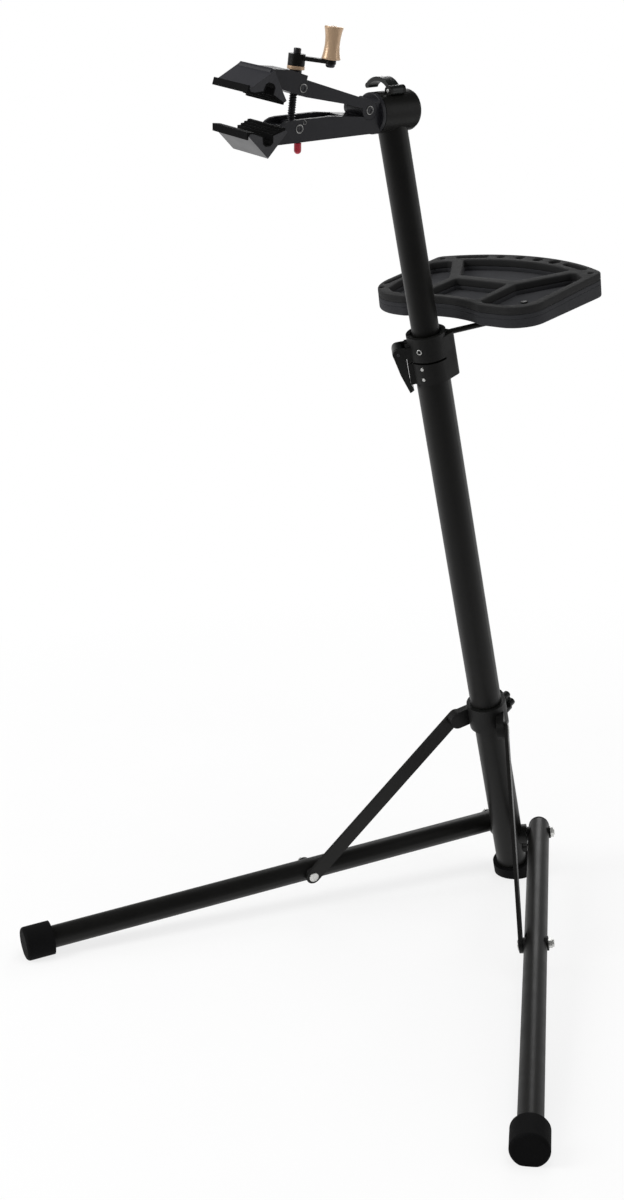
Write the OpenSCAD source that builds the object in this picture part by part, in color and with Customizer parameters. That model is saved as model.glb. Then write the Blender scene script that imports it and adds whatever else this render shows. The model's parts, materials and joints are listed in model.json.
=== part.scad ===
// Folding bicycle repair stand: leaning mast, two legs, tool tray and jaw clamp.
// Millimetres, +Z up. The mast foot stands on the origin and the mast leans to -Y.

/* [Mast] */
// Lean of the mast from upright, degrees
lean = 17.8; // [15:0.1:21]
// Outer diameter of the lower tube
lower_d = 50; // [48:1:54]
// Outer diameter of the upper tube
upper_d = 40; // [36:1:42]
// Wall of all the tubes
wall = 2; // [1.6:0.1:2.6]
// Top end of the lower tube, measured along the mast
lower_top = 966; // [950:1:1000]
// Lower end of the upper tube, measured along the mast
upper_start = 560; // [520:1:600]
// Radius of the rubber foot under the mast
mast_foot_r = 32; // [30:0.5:36]
// Top rim of the rubber foot, measured along the mast
mast_foot_top = 28; // [24:1:34]

/* [Legs] */
// Turn of each leg away from the front, seen along the mast, degrees
spread = 29.7; // [25:0.1:35]
// Height of the leg pivots along the mast
pivot_t = 79; // [72:1:88]
// Outer diameter of the legs
leg_d = 35; // [32:1:37]
// Pivot to the end of the foot
leg_len = 830; // [780:1:832]
// Radius of the rubber feet
foot_r = 26.6; // [25:0.1:26.6]
// Length of the rubber feet
foot_len = 44; // [36:1:50]
// Height of the end of each leg above the floor
foot_z = 21.9; // [20:0.1:24]
// Pivot bolt radius
pivot_r = 5; // [4:0.5:6]

/* [Struts and sliding collar] */
// Distance from the leg pivot to the strut bolt
strut_at = 349; // [320:1:370]
// Width of the flat struts
strut_w = 25; // [20:1:26]
// Middle of the sliding collar along the mast
collar_t = 333; // [315:1:350]
// Height of the sliding collar
collar_h = 44; // [40:1:54]
// Wall of the sliding collar
collar_wall = 5; // [4:0.5:5.5]
// Strut bolt radius
strut_bolt_r = 4; // [3:0.5:5]
// Outer radius of the star knob
knob_r = 20; // [17:0.5:22]

/* [Height clamp] */
// Length of the clamp below the end of the lower tube
clamp_below = 30; // [28:1:34]
// Length of the clamp above the end of the lower tube
clamp_above = 41; // [38:1:44]
// Outer radius of the clamp ring
clamp_r = 29; // [28:0.5:31]
// Side of the mast that the lever is on, degrees from +X
lever_side = 217; // [205:1:230]
// Length of the lever from its pivot
lever_len = 62; // [52:1:64]

/* [Tool tray] */
// Width of the tray
tray_w = 297; // [288:1:304]
// Radius of the rear edge
tray_arc = 275; // [266:1:290]
// Rear edge of the tray, measured from the mast
tray_rear = 280; // [276:1:290]
// Front edge of the tray, measured from the mast
tray_front = 41; // [38:1:44]
// Depth of the hollow in the front edge around the mast
tray_hollow = 17; // [14:1:19]
// Thickness of the black upper layer
foam_t = 11; // [9:0.5:13]
// Thickness of the grey lower layer above the strap
base_t = 22; // [18:0.5:24]
// Slope of the underside against the top of the tray, degrees
wedge = 2; // [0:0.1:3]
// Depth of the pockets below the upper layer
pocket_deep = 6; // [4:0.5:9]
// Slope of the tray from level, degrees
tray_tilt = 11.3; // [9:0.1:13]
// Turn of the tray about the mast, degrees
tray_turn = 4.4; // [2:0.1:6]
// Height of the tray above the top of the lower tube
tray_up = 76; // [74:1:94]
// Diameter of the tray rod
rod_d = 8; // [6:0.5:8]

/* [Head] */
// Middle of the head tube along the mast
head_t = 1325; // [1300:1:1360]
// Turn of the head away from the front, degrees
head_turn = 16.4; // [0:0.1:25]
// Rise of the head axis above square to the mast, degrees
head_raise = 12.6; // [8:0.1:18]
// Outer radius of the head tube
head_r = 27; // [26.5:0.5:29]
// Length of the head tube
head_len = 57; // [52:1:62]
// Radius of the spindle in the head tube
spindle_r = 21; // [19:0.5:21.5]

/* [Jaw clamp] */
// Roll of the clamp about its own axis, degrees
roll = 3; // [-20:1:20]
// Width of both arms
arm_w = 40; // [36:1:44]
// Rear pivot to each screw pin
arm_q = 115; // [112:1:120]
// Opening of the arms at rest, degrees
jaw_open = 25.1; // [23:0.1:26]
// Length of the jaws
jaw_len = 76; // [66:1:90]
// Width of each face of the jaws
jaw_face = 42; // [38:1:46]
// Thickness of the jaw plates
jaw_t = 4; // [3:0.5:5]
// Thickness of the lip of the rubber pads
pad_t = 2.6; // [2:0.2:4]
// Clamp screw radius
screw_r = 5; // [4:0.5:5.5]
// Radius of the crank
crank_r = 45; // [43:1:52]
// Turn of the crank from straight back, degrees
crank_turn = 56; // [30:1:80]
// Length of the crank grip
grip_len = 40; // [34:1:46]
// Radius of the crank grip at its ends
grip_r = 12.5; // [11:0.5:14]

/* [Hidden] */
$fn = 96;
gap = 0.3;
fit = 0.05;
r_low = lower_d / 2;
r_up = upper_d / 2;
r_bore = r_low - wall;
leg_r = leg_d / 2;
// Planes beside the mast, counted outward along the leg pivots
n_head = r_low + 0.4;
n_strut = r_low + 2.5;
n_face = r_low + 8;
leg_off = r_low + 10 + leg_r;
// Fold geometry in the plane of one leg
fa = leg_len * cos(lean);
fb = -leg_len * cos(spread) * sin(lean);
fc = foot_z - pivot_t * cos(lean) - leg_off * sin(spread) * sin(lean);
leg_open = atan2(fb, fa) + acos(fc / norm([fa, fb]));
lug_reach = r_low + 20;
strut_da = collar_t - pivot_t - strut_at * cos(leg_open);
strut_dg = lug_reach - strut_at * sin(leg_open);
strut_len = norm([strut_da, strut_dg]);
strut_ang = atan2(strut_dg, strut_da);
// Sliding collar
liner_t = 1.6;
r_ring = r_low + 0.1 + liner_t;
collar_lo = collar_t + 5 - collar_h / 2;
collar_hi = collar_t + 5 + collar_h / 2;
knob_t = collar_t - 4;
knob_y = r_ring + collar_wall + 3;
// Height clamp
clamp_lo = lower_top - clamp_below;
clamp_hi = lower_top + clamp_above;
lug_r = clamp_r + 4;
lever_pin_r = 2.5;
lever_rho = lug_r + 11;
lever_t = clamp_hi - 22;
rivet_side = -82;
rivets_t = [clamp_lo + 9, clamp_lo + 25];
guide_t = lower_top + 22;
rod_r = rod_d / 2;
rod_rho = r_low + 1.4 + rod_r;
rod_side = lever_side - 180;
rod_low = clamp_lo + 3;
boss_r = rod_r + 4.4;
flank = acos((clamp_r - boss_r) / rod_rho);
// Tray frame seen from the mast frame
tray_t = lower_top + tray_up;
tray_lean = lean - tray_tilt;
tray_under = foam_t + base_t;
tray_half = tray_w / 2;
tray_mid = tray_rear - tray_arc;
hollow_half = 4 * tray_hollow;
hollow_r = (hollow_half * hollow_half + tray_hollow * tray_hollow) / (2 * tray_hollow);
rod_x = rod_rho * cos(rod_side);
rod_y = rod_rho * sin(rod_side);
rod_top = tray_t - (tray_under + rod_r + 2.4) / cos(tray_lean) - rod_y * tan(tray_lean);
// Clamp head
arm_half = arm_w / 2;
tongue = arm_half - 8;
head_back = 30;
head_front = head_len - head_back;
flange_t = 6;
arm_w0 = head_front + gap + flange_t;
pin_w = arm_w0 + 17.2;
pin_z = 8.5;
low_ang = 6.6;
up_ang = jaw_open - low_ang;
screw_lean = (180 - jaw_open) / 2 - 90 + jaw_open - low_ang;
nut_w = pin_w + arm_q * cos(low_ang);
nut_z = pin_z - arm_q * sin(low_ang);
top_w = pin_w + arm_q * cos(up_ang);
top_z = pin_z + arm_q * sin(up_ang);
pin_hole = 4;
arm_low = -22;
arm_top = 6.5;
jaw_leg = jaw_face / sqrt(2);
// Distance of the jaw screws from the corner of each V
lower_spot = 30;
upper_spot = 12;
lj_w = nut_w + 62;
lj_z = nut_z - 28;
uj_q = arm_q + 64;
uj_r = 8;
block_r = 16.2;
ring_lo = 20.5;
ring_hi = 25;
hub_hi = 39.5;
screw_low = 65;
trigger_w = nut_w - 12.5;
trigger_press = 4;
groove = 6;
lip_hook = 4;
lip_up = 5.5;

// Shared frames
module mast_frame() rotate([lean, 0, 0]) children();
module fold_frame() mast_frame() rotate([0, 0, spread]) translate([leg_off, 0, pivot_t]) children();
module leg_frame() fold_frame() rotate([leg_open, 0, 0]) children();
module strut_frame() leg_frame() translate([0, 0, strut_at]) rotate([strut_ang - leg_open, 0, 0]) children();
module left() mirror([1, 0, 0]) children();
module both() {
    children();
    left() children();
}
module tray_frame() {
    mast_frame() translate([0, 0, tray_t]) rotate([-tray_lean, 0, 0]) rotate([0, 0, -tray_turn]) children();
}
module head_frame() {
    mast_frame() translate([0, 0, head_t]) rotate([0, 0, -head_turn]) rotate([-head_raise, 0, 0]) children();
}
module clamp_frame() head_frame() rotate([0, roll, 0]) children();
module arm_frame() clamp_frame() translate([0, -pin_w, pin_z]) rotate([-up_ang, 0, 0]) children();
module screw_frame() clamp_frame() translate([0, -top_w, top_z]) rotate([-screw_lean, 0, 0]) children();
module crank_frame() screw_frame() rotate([0, 0, 90 - crank_turn]) children();

// Shared shapes
module tube(r, ri, a, b) {
    translate([0, 0, a]) difference() {
        cylinder(h = b - a, r = r);
        translate([0, 0, -1]) cylinder(h = b - a + 2, r = ri);
    }
}
module rod(r, a, b) translate([0, 0, a]) cylinder(h = b - a, r = r);
// Cylinder along X from x = a to x = b
module out(r, a, b) translate([a, 0, 0]) rotate([0, 90, 0]) cylinder(h = b - a, r = r);
// Cylinder forward along -Y from w = a to w = b
module fore(r, a, b) translate([0, -a, 0]) rotate([90, 0, 0]) cylinder(h = b - a, r = r);
// Outline drawn as (forward, up) and spread over a width along X
module slab(w) rotate([90, 0, -90]) linear_extrude(height = w, center = true) children();
// Outline drawn as (outward, up) and spread over a width across it
module fin(w) rotate([90, 0, 0]) linear_extrude(height = w, center = true) children();
// Pin across the arms at (forward, up)
module cross(r, w, z, l) translate([0, -w, z]) rotate([0, 90, 0]) cylinder(h = l, r = r, center = true);
// Disc with a rounded edge on its upper side
module button(r, h, f) {
    rotate_extrude() union() {
        square([r, h - f]);
        square([r - f, h]);
        intersection() {
            translate([r - f, h - f]) circle(r = f, $fn = 48);
            square([r, h]);
        }
    }
}
module floor_cut() translate([-1500, -1500, -200]) cube([3000, 3000, 200]);
module link(a, b, r) {
    d = b - a;
    translate(a) rotate([0, acos(d[2] / norm(d)), atan2(d[1], d[0])]) cylinder(h = norm(d), r = r);
}

// Mast
module lower_tube() {
    color("#1c1c1a") mast_frame() tube(r_low, r_bore, 12, lower_top);
}
module mast_foot() {
    color("#121212") difference() {
        mast_frame() difference() {
            translate([0, 0, mast_foot_top]) rotate([180, 0, 0]) button(mast_foot_r, mast_foot_top + 6, 5);
            rod(r_low, 12, mast_foot_top + 1);
        }
        floor_cut();
    }
}
module bracket() {
    difference() {
        fold_frame() union() {
            out(17, -leg_off + 10, n_face - leg_off - 0.5);
            translate([0, 0, -26]) out(10, -leg_off + 10, n_face - leg_off - 3);
            translate([-leg_off + 10, -8, -26]) cube([n_face - 13, 16, 26]);
        }
        mast_frame() rod(r_low, -50, 300);
        fold_frame() out(pivot_r, -leg_off, 0);
        fold_frame() translate([0, 0, -26]) out(3, -leg_off, 0);
    }
}
module leg_brackets() {
    color("#20201f") both() bracket();
}
module bracket_screws() {
    color("#b8b8b8") both() fold_frame() translate([0, 0, -26]) {
        out(3, r_low + 0.5 - leg_off, n_face - leg_off - 3);
        translate([n_face - leg_off - 3, 0, 0]) rotate([0, 90, 0]) button(5, 2.4, 1);
    }
}
module pivot_bolts() {
    color("#c4c4c4") both() fold_frame() union() {
        out(pivot_r, r_low + 0.5 - leg_off, leg_r + 9);
        translate([leg_r + 2 + gap, 0, 0]) rotate([0, 90, 0]) cylinder(h = 5, r = pivot_r + 4, $fn = 6);
    }
}

// Height clamp on the end of the lower tube
module height_collar() {
    rod_head = atan2(rod_weld()[1] - rod_y, rod_weld()[0] - rod_x);
    color("#1d1d1c") mast_frame() difference() {
        union() {
            rod(clamp_r, clamp_lo, clamp_hi);
            rotate([0, 0, rod_side]) translate([rod_rho, 0, 0]) rod(boss_r, rod_low - 3, clamp_hi - 6);
            // Walls from the ring to the rod boss
            rotate([0, 0, rod_side]) translate([0, 0, rod_low - 3]) {
                linear_extrude(height = clamp_hi - 3 - rod_low) {
                    polygon([[clamp_r * cos(flank), -clamp_r * sin(flank)],
                        [rod_rho + boss_r * cos(flank), -boss_r * sin(flank)],
                        [rod_rho + boss_r * cos(flank), boss_r * sin(flank)],
                        [clamp_r * cos(flank), clamp_r * sin(flank)]]);
                }
            }
            rotate([0, 0, lever_side]) {
                fin(28) polygon([[0, clamp_lo], [lug_r, clamp_lo], [lug_r, clamp_hi - 12],
                    [0, clamp_hi - 12]]);
                for (s = [-1, 1]) translate([0, s * 13.4, 0]) fin(4) union() {
                    polygon([[20, lever_t - 8], [lever_rho, lever_t - 8], [lever_rho, lever_t + 8],
                        [20, lever_t + 8]]);
                    translate([lever_rho, lever_t]) circle(r = 8);
                }
            }
        }
        rod(r_low, clamp_lo - 1, lower_top);
        rod(r_bore, clamp_lo, clamp_hi + 1);
        rotate([0, 0, rod_side]) translate([rod_rho, 0, 0]) rod(rod_r + fit, rod_low - gap, clamp_hi + 1);
        // Split that the lever closes, and the slot that frees the upper half
        rotate([0, 0, lever_side]) translate([0, -1.5, lower_top + 2]) cube([80, 3, clamp_above]);
        difference() {
            rotate([0, 0, lever_side - 40]) translate([-60, -1, lower_top + 2]) cube([120, 200, 3]);
            rotate([0, 0, rod_side]) translate([rod_rho - 6, -14, 0]) cube([40, 28, clamp_hi + 9]);
        }
        rotate([0, 0, lever_side]) translate([lever_rho, 0, lever_t]) rotate([90, 0, 0]) {
            cylinder(h = 60, r = lever_pin_r, center = true);
        }
        // Notch for the bend of the tray rod, open upward
        translate([rod_x, rod_y, rod_top]) {
            sphere(r = rod_r + gap + 0.1);
            rod(rod_r + 2 * gap, 0, clamp_above);
            rotate([0, 0, rod_head]) translate([0, -rod_r - 3 * gap, 0]) {
                cube([clamp_above, 2 * rod_r + 6 * gap, clamp_above]);
            }
        }
        link([rod_x, rod_y, rod_top], rod_weld(), rod_r + gap);
        // Seats of the rivets and of the guide screw
        for (t = rivets_t) rotate([0, 0, rivet_side]) translate([0, 0, t]) out(2.5, r_bore - 4, 60);
        rotate([0, 0, rivet_side]) translate([0, 0, guide_t]) out(4, r_bore - 4, 60);
    }
}
module guide_bush() {
    color("#2a2a2a") mast_frame() tube(r_bore, r_up + fit, clamp_lo, clamp_hi - 4);
}
module collar_fixings() {
    color("#d6d6d6") mast_frame() {
        for (t = rivets_t) rotate([0, 0, rivet_side]) translate([0, 0, t]) {
            out(2.5, r_low + gap, clamp_r + 0.8);
        }
        rotate([0, 0, rivet_side]) translate([0, 0, guide_t]) difference() {
            out(4, r_bore + gap, clamp_r + 1);
            out(2.6, clamp_r - 2, clamp_r + 2);
        }
    }
}
module height_lever_pin() {
    color("#b0b0b0") mast_frame() rotate([0, 0, lever_side]) translate([lever_rho, 0, lever_t]) {
        rotate([90, 0, 0]) cylinder(h = 31.6, r = lever_pin_r, center = true);
    }
}
module height_lever() {
    tip_t = lever_t - lever_len;
    color("#161616") mast_frame() rotate([0, 0, lever_side]) difference() {
        fin(22) union() {
            translate([lever_rho, lever_t]) circle(r = 8.4);
            polygon([[lug_r + 2.7, lever_t], [lug_r + 0.4, lever_t - 18], [lug_r + 0.4, clamp_lo + 1],
                [lug_r - 3.4, tip_t + 2], [lug_r + 3, tip_t - 1.5], [lug_r + 12.4, lever_t - 34],
                [lever_rho + 8.4, lever_t]]);
        }
        translate([lever_rho, 0, lever_t]) rotate([90, 0, 0]) {
            cylinder(h = 60, r = lever_pin_r + fit, center = true);
        }
    }
}

// Telescoping upper tube
module glide_bush() {
    color("#303030") mast_frame() union() {
        rod(r_bore - fit, upper_start - 20, upper_start - gap);
        rod(r_up - wall - fit, upper_start - 20, upper_start + 30);
    }
}
module upper_tube() {
    color("#1c1c1a") difference() {
        mast_frame() tube(r_up, r_up - wall, upper_start, head_t);
        head_frame() fore(head_r, -60, 60);
    }
}

// Head tube with its cam lever
cam_x = 0.47 * head_r;
cam_z = head_r + 1.5;
// Bow of the head lever
bow_x = -14;
bow_z = 11;
bow_r = 30.25;
bow_end = 41;
module head_tube() {
    color("#1c1c1a") head_frame() difference() {
        union() {
            fore(head_r, -head_back, head_front);
            for (w = [-12, 10]) translate([cam_x, 0, cam_z]) fore(6.5, w, w + 4);
        }
        fore(spindle_r + fit, -head_back - 1, head_front + 1);
        translate([cam_x, 0, cam_z]) fore(7, -8, 10);
        translate([cam_x, 0, cam_z]) fore(lever_pin_r, -30, 30);
        // Split under the lever
        translate([cam_x - 5, -head_front - 1, 0]) cube([2, head_front + 9, head_r + 9]);
    }
}
module head_lever_pin() {
    color("#b0b0b0") head_frame() translate([cam_x, 0, cam_z]) fore(lever_pin_r, -12.6, 14.6);
}
module head_lever() {
    color("#17201c") head_frame() difference() {
        union() {
            translate([cam_x, 0, cam_z]) fore(6.4, -7.7, 9.7);
            translate([bow_x - bow_r * cos(bow_end), 0, bow_z + bow_r * sin(bow_end)]) fore(3.4, -7.7, 9.7);
            difference() {
                translate([bow_x, 0, bow_z]) fore(bow_r + 2.75, -7.7, 9.7);
                translate([bow_x, 0, bow_z]) fore(bow_r - 2.75, -8, 10);
                translate([-80, -30, -80]) cube([160, 60, 80 + bow_z + bow_r * sin(bow_end)]);
                fore(head_r + gap, -30, 30);
                translate([cam_x, -30, 0]) cube([60, 60, cam_z]);
            }
        }
        translate([cam_x, 0, cam_z]) fore(lever_pin_r + fit, -30, 30);
    }
}

// Turning part of the clamp
module spindle() {
    color("#26262b") clamp_frame() difference() {
        union() {
            fore(spindle_r, -head_back, head_front + gap);
            fore(head_r, head_front + gap, arm_w0);
        }
        fore(4, -head_back - 1, 0);
    }
}
module spindle_cap() {
    color("#202022") clamp_frame() difference() {
        fore(head_r - 2, -head_back - gap - 4, -head_back - gap);
        fore(4, -60, 0);
    }
}
module spindle_bolt() {
    color("#c4c4c4") clamp_frame() union() {
        fore(4, -head_back - gap - 4, -1);
        translate([0, head_back + gap + 4, 0]) rotate([-90, 0, 0]) button(8, 5, 2);
    }
}
module lower_arm() {
    front = lj_w + lj_z;
    color("#26262b") clamp_frame() difference() {
        union() {
            slab(arm_w) polygon([[arm_w0, arm_low], [front - arm_low, arm_low], [front + 1.5, -1.5],
                [front - 3, 2.6], [front - 10, 5.5], [front - 19, arm_top], [pin_w + 61.5, arm_top],
                [pin_w + 10, 1], [pin_w, 12.5], [arm_w0 + 3, 20], [arm_w0, 20]]);
            cross(12, pin_w, pin_z, 2 * tongue);
        }
        // Channel between the cheeks
        translate([0, -(pin_w + 40 + front - 18) / 2, arm_low + 6.5 + 50]) {
            cube([arm_w - 10, front - 18 - pin_w - 40, 100], center = true);
        }
        translate([5 - arm_half, -front - 30, -1]) cube([arm_w - 10, 60, 60]);
        // Seats of the upper arm on both sides of the tongue
        for (s = [-1, 1]) translate([s * (tongue + 20), 0, 0]) cross(12.4, pin_w, pin_z, 40);
        cross(pin_hole, pin_w, pin_z, 90);
        cross(pin_hole + fit, nut_w, nut_z, 90);
        translate([0, -nut_w, nut_z]) rotate([-screw_lean, 0, 0]) rod(screw_r + 3, -60, 0);
        translate([0, -trigger_w, 0]) rod(3.5 + fit, -60, 0);
        translate([0, -lj_w, lj_z]) wing_spots(lower_spot) rod(2.5, -12, 1);
    }
}
// V of the jaws with its corner at the origin, opening upward
module vee(a, b, l) {
    h = sqrt(2);
    polygon([[-l, l + a * h], [0, a * h], [l, l + a * h], [l + (a - b) / h, l + (a + b) / h], [0, b * h],
        [-l - (a - b) / h, l + (a + b) / h]]);
}
// Body of the jaw between its plates, under the rubber
module jaw_core() {
    h = sqrt(2);
    l = jaw_leg;
    a = jaw_t;
    polygon([[0, a * h], [l - a / h, l + a / h], [l - 9, l + 2], [groove + 3, l - 2.5], [groove + 2, l - 11],
        [groove / 2 + 1, l - 14.7], [-groove / 2 - 1, l - 14.7], [-groove - 2, l - 11],
        [-groove - 2, l - 2.5], [a / h - l, l + a / h]]);
}
// Rubber lining of the V: a lip over the front edge of the plate, a groove and steps on the rear wing
module pad_outline() {
    h = sqrt(2);
    l = jaw_leg;
    a = jaw_t;
    step = (l - a / h - groove) / 4;
    difference() {
        polygon([[0, a * h], [l - a / h, l + a / h], [l, l], [l, l - lip_hook], [l + pad_t, l - lip_hook],
            [l + pad_t, l + lip_up], [l - 9, l + 4.2], [groove + 2, l - 0.5], [groove, l - 2.5],
            [groove, l - 9.7], [groove / 2, l - 12.7], [-groove / 2, l - 12.7], [-groove, l - 9.7],
            [-groove, l - 0.5], [-groove - step, l - 0.5], [-groove - step, l + 1.6],
            [-groove - 2 * step, l + 1.6], [-groove - 2 * step, l + 3.7], [-groove - 3 * step, l + 3.7],
            [-groove - 3 * step, l + 5.8], [a / h - l, l + 5.8], [a / h - l, l + a / h]]);
        jaw_core();
    }
}
// Screw places on the rear wing, with their Z pointing into the V
module wing_spots(d) {
    for (s = [-1, 1]) translate([s * 9, d / sqrt(2), d / sqrt(2)]) rotate([45, 0, 0]) children();
}
module jaw_body(d) {
    difference() {
        slab(jaw_len) union() {
            vee(0, jaw_t, jaw_leg);
            jaw_core();
        }
        wing_spots(d) {
            rod(2.5, -1, jaw_t + 1);
            rod(4.6, jaw_t - 2.5, jaw_face);
        }
    }
}
module jaw_screws(d) {
    wing_spots(d) union() {
        rod(2.5, -11, jaw_t - 2.5);
        rod(4.6, jaw_t - 2.5, jaw_t - gap);
    }
}
module lower_jaw() {
    color("#2b2c33") clamp_frame() translate([0, -lj_w, lj_z]) jaw_body(lower_spot);
}
module lower_pad() {
    color("#101010") clamp_frame() translate([0, -lj_w, lj_z]) slab(jaw_len) pad_outline();
}
module lower_jaw_screws() {
    color("#9a9a9a") clamp_frame() translate([0, -lj_w, lj_z]) jaw_screws(lower_spot);
}
module arm_pin() {
    color("#b8b8b8") clamp_frame() cross(pin_hole, pin_w, pin_z, arm_w - 0.4);
}

// Upper arm, drawn along -Y from its rear pivot
module upper_arm() {
    back = uj_q - uj_r;
    color("#26262b") difference() {
        arm_frame() difference() {
            slab(arm_w) union() {
                circle(r = 12);
                polygon([[0, 0], [40, -2], [arm_q - 8, -9.5], [back - 9.5, -9.5], [back + uj_r, uj_r],
                    [arm_q + 26, block_r], [arm_q - 2, block_r], [arm_q - 2, 11], [0, 12]]);
            }
            // Slot for the tongue of the lower arm
            cross(12.6, 0, 0, 2 * tongue + 2 * gap);
            translate([-tongue - gap, -11, -50]) cube([2 * (tongue + gap), 40, 100]);
            cross(pin_hole + fit, 0, 0, 90);
            // Bearing of the screw
            cross(10.4, arm_q, 0, arm_w - 10);
            cross(pin_hole + fit, arm_q, 0, 90);
            translate([0, -uj_q, uj_r]) mirror([0, 0, 1]) wing_spots(upper_spot) rod(2.5, -12, 1);
        }
        screw_frame() rod(10.6, -40, 60);
    }
}
module upper_frame() arm_frame() translate([0, -uj_q, uj_r]) mirror([0, 0, 1]) children();
module upper_jaw() {
    color("#2b2c33") upper_frame() union() {
        jaw_body(upper_spot);
        // Bead along the corner, in front of the arm
        slab(jaw_len - 8) polygon([[gap, -2.2], [1.6, -2.2], [3.4, 0.4], [3.4, 5], [gap, 2]]);
    }
}
module upper_pad() {
    color("#101010") upper_frame() slab(jaw_len) pad_outline();
}
module upper_jaw_screws() {
    color("#9a9a9a") upper_frame() jaw_screws(upper_spot);
}

// Clamp screw with its bearing, nut, crank and trigger
module bearing_block() {
    color("#2e2e30") screw_frame() difference() {
        union() {
            cross(10, 0, 0, arm_w - 10.6);
            cross(pin_hole, 0, 0, arm_w - 0.4);
            rod(8, 0, ring_lo);
        }
        rod(screw_r + fit, -30, 60);
    }
}
module thrust_ring() {
    color("#c9a26a") screw_frame() tube(11.3, screw_r + fit, ring_lo, ring_hi);
}
module clamp_screw() {
    color("#5a5a5c") screw_frame() rod(screw_r, -screw_low, hub_hi);
}
module crank() {
    color("#141414") crank_frame() difference() {
        union() {
            rod(11, ring_hi + gap, hub_hi);
            translate([0, -6, hub_hi - 7]) cube([crank_r, 12, 5]);
            translate([crank_r, 0, 0]) rod(7, hub_hi - 7, hub_hi - 2);
        }
        rod(screw_r, 0, hub_hi + 1);
        translate([crank_r, 0, 0]) rod(3, 0, 90);
    }
}
module crank_screw() {
    color("#1a1a1a") crank_frame() translate([0, 0, hub_hi]) difference() {
        button(4.8, 7, 1.2);
        translate([0, 0, 3.5]) cylinder(h = 9, r = 2.4, $fn = 6);
    }
}
module grip_axle() {
    color("#1a1a1a") crank_frame() translate([crank_r, 0, 0]) union() {
        rod(3, hub_hi - 7, hub_hi - 2 + gap + grip_len - 3);
        rod(5, hub_hi - 2 + gap + grip_len - 3 + gap, hub_hi - 2 + gap + grip_len - 0.6);
        rod(3, hub_hi + grip_len - 6, hub_hi + grip_len - 4);
        translate([0, 0, hub_hi - 7]) rotate([180, 0, 0]) button(6, 4.4, 3);
    }
}
module crank_grip() {
    waist = 3;
    arc = (grip_len * grip_len / 4 + waist * waist) / (2 * waist);
    color("#c6a06c") crank_frame() translate([crank_r, 0, hub_hi - 2 + gap]) difference() {
        rotate_extrude() difference() {
            square([grip_r, grip_len]);
            translate([grip_r - waist + arc, grip_len / 2]) circle(r = arc, $fn = 180);
        }
        translate([0, 0, -1]) cylinder(h = grip_len + 2, r = 3 + fit);
        translate([0, 0, grip_len - 3]) cylinder(h = 9, r = 5 + fit);
    }
}
module screw_nut() {
    color("#3a3a3c") clamp_frame() translate([0, -nut_w, nut_z]) rotate([-screw_lean, 0, 0]) difference() {
        union() {
            cross(7.5, 0, 0, arm_w - 10.6);
            cross(pin_hole, 0, 0, arm_w - 0.4);
        }
        rod(screw_r + fit, -60, 60);
    }
}
module trigger() {
    color("#c01024") clamp_frame() translate([0, -trigger_w, 0]) union() {
        rod(3.5, arm_low - 6, arm_low + 7);
        rod(4.4, arm_low + 6.5 + gap, arm_low + 8.8);
        rod(4.8, arm_low - 14, arm_low - trigger_press - gap);
        translate([0, 0, arm_low - 14]) sphere(r = 4.8);
    }
}

// Sliding collar and its star knob
module lug() {
    r = 15;
    rotate([0, 0, spread]) translate([n_strut - gap - 12, 0, collar_t]) rotate([90, 0, 90]) {
        linear_extrude(height = 12) union() {
            translate([-lug_reach, -r]) square([lug_reach, 2 * r]);
            translate([-lug_reach, 0]) circle(r = r);
        }
    }
}
module slide_collar() {
    color("#1f1f1e") mast_frame() difference() {
        union() {
            rod(r_ring + collar_wall, collar_lo, collar_hi);
            both() lug();
            translate([0, knob_y, knob_t]) rotate([90, 0, 0]) cylinder(h = 20, r = 11);
        }
        rod(r_ring, 0, 900);
        translate([0, 90, knob_t]) rotate([90, 0, 0]) cylinder(h = 90, r = 4 + fit);
    }
}
module collar_liner() {
    color("#303030") mast_frame() difference() {
        tube(r_ring, r_low + 0.1, collar_lo, collar_hi);
        translate([0, 90, knob_t]) rotate([90, 0, 0]) cylinder(h = 90, r = 4 + fit);
    }
}
module collar_knob() {
    lobe = 0.3 * knob_r;
    y0 = knob_y + gap;
    color("#0e0e0e") mast_frame() translate([0, y0, knob_t]) rotate([-90, 0, 0]) difference() {
        union() {
            cylinder(h = 5, r = 9);
            translate([0, 0, 4]) linear_extrude(height = 13) union() {
                circle(r = knob_r - lobe);
                for (k = [0:5]) rotate([0, 0, 60 * k]) translate([knob_r - lobe, 0]) circle(r = lobe);
            }
        }
        translate([0, 0, -1]) cylinder(h = 13, r = 4);
    }
}
module knob_stud() {
    y0 = knob_y + gap;
    color("#b8b8b8") mast_frame() translate([0, r_low + gap, knob_t]) rotate([-90, 0, 0]) {
        cylinder(h = y0 + 12 - r_low - gap, r = 4);
    }
}

// One leg with its strut, drawn for the +X side
module leg() {
    color("#1c1c1a") leg_frame() difference() {
        tube(leg_r, leg_r - wall, -22, leg_len - 8);
        out(pivot_r + fit, -40, 40);
        translate([0, 0, strut_at]) out(strut_bolt_r, -40, 40);
    }
}
module plug() {
    color("#121212") leg_frame() union() {
        difference() {
            translate([0, 0, -22]) sphere(r = leg_r);
            rod(leg_r + 1, -22, 20);
        }
        rod(leg_r - wall, -22, -12);
    }
}
module foot() {
    color("#111111") difference() {
        leg_frame() difference() {
            translate([0, 0, leg_len - foot_len]) button(foot_r, foot_len, 5);
            rod(leg_r, leg_len - foot_len - 1, leg_len - 8);
        }
        floor_cut();
    }
}
module saddles() {
    color("#242424") leg_frame() difference() {
        union() {
            out(12, n_face + gap - leg_off, 0);
            out(10, 0, leg_r + 2);
            translate([0, 0, strut_at]) out(11, n_face + gap - leg_off, leg_r + 2);
        }
        rod(leg_r, -60, strut_at + 60);
        out(pivot_r + fit, -40, 40);
        translate([0, 0, strut_at]) out(strut_bolt_r, -40, 40);
    }
}
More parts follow.
